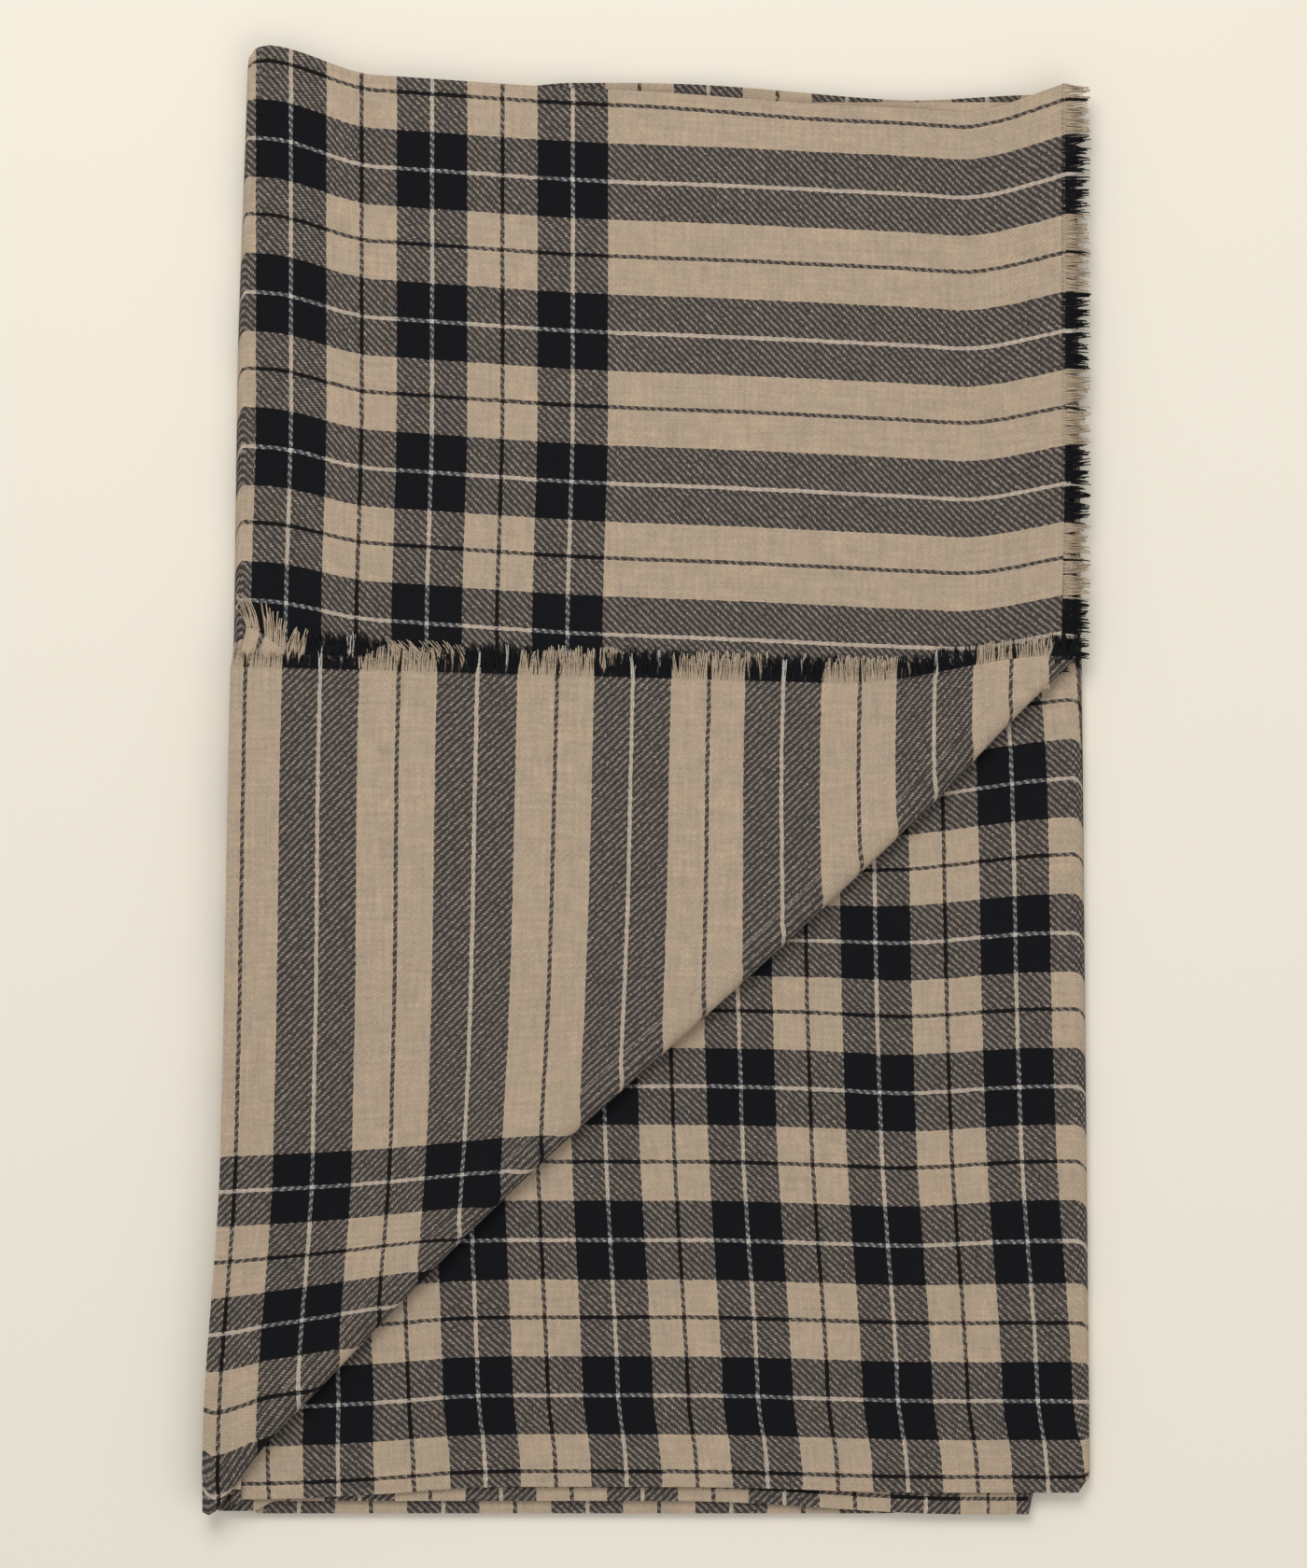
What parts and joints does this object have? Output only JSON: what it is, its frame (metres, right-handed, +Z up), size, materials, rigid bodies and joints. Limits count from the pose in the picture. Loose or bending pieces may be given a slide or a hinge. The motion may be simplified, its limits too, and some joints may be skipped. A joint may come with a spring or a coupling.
{
  "type": "folded fringed wrap",
  "caption": "Long checked twill wrap with self-fringed ends, folded flat into layers with one corner of the upper layers turned back over a soft diagonal fold.",
  "frame": {"origin": "centre of the folded outline, on the surface that the wrap lies on", "axes": "+X along the cloth's length, from the folded left side to the fringed ends; +Y across the cloth, away from the turned corner's foot; +Z up"},
  "size_m": [0.3528, 0.5861, 0.0155],
  "materials": {
    "checked_cloth": "soft brushed twill check in beige, navy-black and ivory yarns",
    "fold_cloth": "the same twill where it rolls round a fold",
    "fringe_yarn": "loose lengthwise yarn ends in the stripe colours"
  },
  "bodies": {
    "bottom_pair": {"bottom_panel": "checked_cloth", "fifth_panel": "checked_cloth", "mid_length_fold": "fold_cloth"},
    "middle_pair": {"fourth_panel": "checked_cloth", "third_panel": "checked_cloth", "right_outer_fold": "fold_cloth", "right_inner_fold": "fold_cloth"},
    "top_pair": {"second_panel": "checked_cloth", "top_panel": "checked_cloth", "second_panel_fringe": "fringe_yarn", "top_panel_fringe": "fringe_yarn", "left_inner_fold": "fold_cloth", "left_outer_fold": "fold_cloth"},
    "turned_corner": {"corner_under_panel": "checked_cloth", "corner_upper_panel": "checked_cloth", "corner_under_fringe": "fringe_yarn", "corner_upper_fringe": "fringe_yarn", "corner_inner_fold": "fold_cloth", "corner_outer_fold": "fold_cloth"}
  },
  "joints": [
    {"name": "middle_pair_unfold", "type": "hinge", "parent": "bottom_pair", "child": "middle_pair", "pos_m": [0.173, 0, 0.00375], "axis": [0, 1, 0], "range_deg": [0, 179], "deforming": ["right_outer_fold", "right_inner_fold"]},
    {"name": "top_pair_unfold", "type": "hinge", "parent": "middle_pair", "child": "top_pair", "pos_m": [-0.165, 0, 0.00775], "axis": [-0.0136, -0.9999, 0], "range_deg": [0, 179], "deforming": ["left_outer_fold", "left_inner_fold"]},
    {"name": "corner_turn_back", "type": "hinge", "parent": "top_pair", "child": "turned_corner", "pos_m": [0, -0.1183, 0.01175], "axis": [0.7193, 0.6947, 0], "range_deg": [0, 179], "deforming": ["corner_outer_fold", "corner_inner_fold"]}
  ]
}
